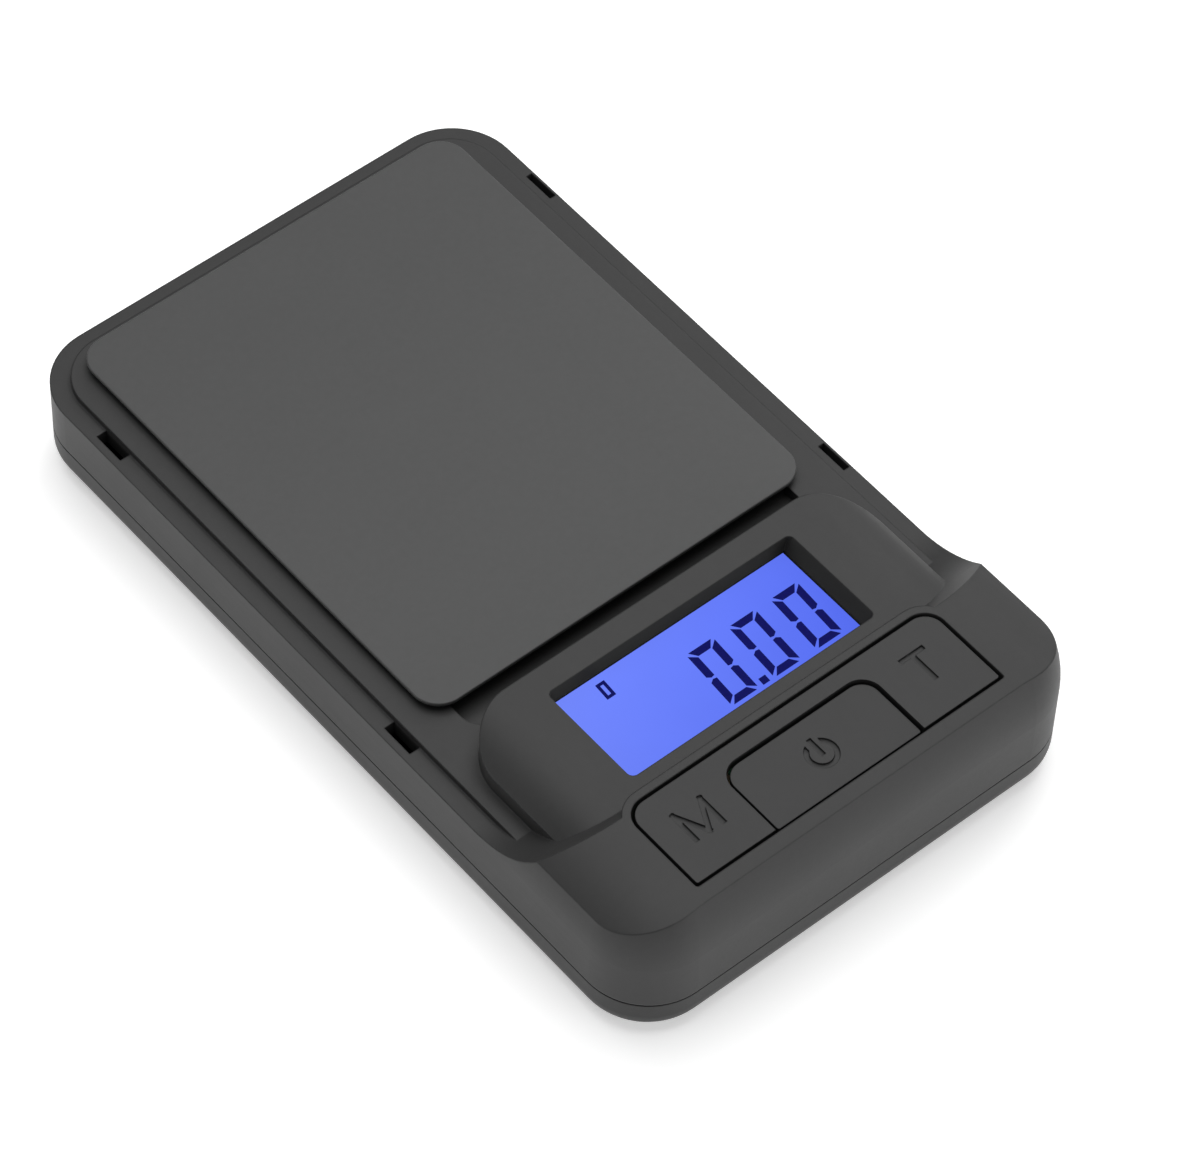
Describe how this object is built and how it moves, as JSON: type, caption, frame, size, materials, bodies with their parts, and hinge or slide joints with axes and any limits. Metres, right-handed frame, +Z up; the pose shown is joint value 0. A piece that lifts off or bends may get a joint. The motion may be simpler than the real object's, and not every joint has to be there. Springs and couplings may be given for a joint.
{
  "type": "digital gram scale",
  "caption": "Pocket digital gram scale with a flat weighing platform on a bending-beam load cell, a recessed lit display, pressing keys and a battery bay under a hinged door.",
  "frame": {"origin": "centre of the footprint, at the height of the table that the feet rest on", "axes": "+X to the right as the display is read, -Y towards the keys and the person using it, +Z up"},
  "size_m": [0.0706, 0.119, 0.021],
  "materials": {
    "case_plastic": "fine satin texture",
    "platform_plastic": "smooth satin",
    "key_plastic": "smooth satin",
    "steel_sheet": "rolled zinc-plated sheet",
    "beam_aluminium": "milled",
    "gauge_silicone": "poured silicone",
    "screw_steel": "zinc plated",
    "wire_sleeve": "flexible sleeve, a colour to each wire",
    "switch_plastic": "moulded",
    "plunger_plastic": "moulded",
    "board_green": "solder mask",
    "chip_epoxy": "cast epoxy blob",
    "component_ceramic": "ceramic",
    "display_blue": "lit liquid-crystal glass",
    "light_white": "diffusing acrylic",
    "lamp_resin": "clear resin",
    "holder_white": "moulded",
    "gasket_foam": "closed-cell foam",
    "pin_metal": "tinned",
    "sheet_film": "film",
    "cell_label": "printed sleeve",
    "contact_nickel": "nickel plated",
    "foot_rubber": "moulded",
    "plate_metal": "brushed, blank"
  },
  "bodies": {
    "case": {"lower_shell": "case_plastic", "upper_shell": "case_plastic", "load_cell": "beam_aluminium", "gauge_coating": "gauge_silicone", "load_cell_shim": "steel_sheet", "load_cell_screws": "screw_steel", "load_cell_wires": "wire_sleeve", "overload_stops": "screw_steel", "key_pivot_pin": "screw_steel", "key_switches": "switch_plastic", "circuit_board": "board_green", "controller_chip": "chip_epoxy", "board_components": "component_ceramic", "board_screws": "screw_steel", "display_glass": "display_blue", "display_backlight": "light_white", "backlight_lamp": "lamp_resin", "display_holder": "holder_white", "display_gasket": "gasket_foam", "display_pins": "pin_metal", "insulating_sheet": "sheet_film", "battery_cells": "cell_label", "contact_springs": "contact_nickel", "terminal_plates": "contact_nickel", "joining_contact": "contact_nickel", "battery_wires": "wire_sleeve", "case_screws": "screw_steel", "rubber_feet": "foot_rubber", "rating_plate": "plate_metal"},
    "platform": {"weighing_platform": "platform_plastic", "platform_bracket": "steel_sheet", "platform_riser": "beam_aluminium", "platform_pads": "gauge_silicone", "bracket_screws": "screw_steel"},
    "rocking_key": {"bridge_key": "key_plastic", "bridge_key_plungers": "plunger_plastic"},
    "on_off_key": {"power_key": "key_plastic", "power_key_plunger": "plunger_plastic"},
    "door": {"battery_door": "case_plastic"}
  },
  "joints": [
    {"name": "platform_sink", "type": "slide", "parent": "case", "child": "platform", "axis": [0, 0, -1], "range_m": [0, 0.0003], "stiffness_N_per_m": 6500, "springref_m": -0.0001, "deforming": ["load_cell"]},
    {"name": "mode_tare_rock", "type": "hinge", "parent": "case", "child": "rocking_key", "pos_m": [0, -0.0435, 0.0182], "axis": [0, 1, 0], "range_deg": [-1.5, 1.5], "stiffness_Nm_per_rad": 0.8},
    {"name": "power_press", "type": "slide", "parent": "case", "child": "on_off_key", "axis": [0, 0, -1], "range_m": [0, 0.0005], "stiffness_N_per_m": 1500, "springref_m": -0.0002},
    {"name": "battery_door_swing", "type": "hinge", "parent": "case", "child": "door", "pos_m": [0, -0.054, 0.0013], "axis": [-1, 0, 0], "range_deg": [0, 75]}
  ]
}
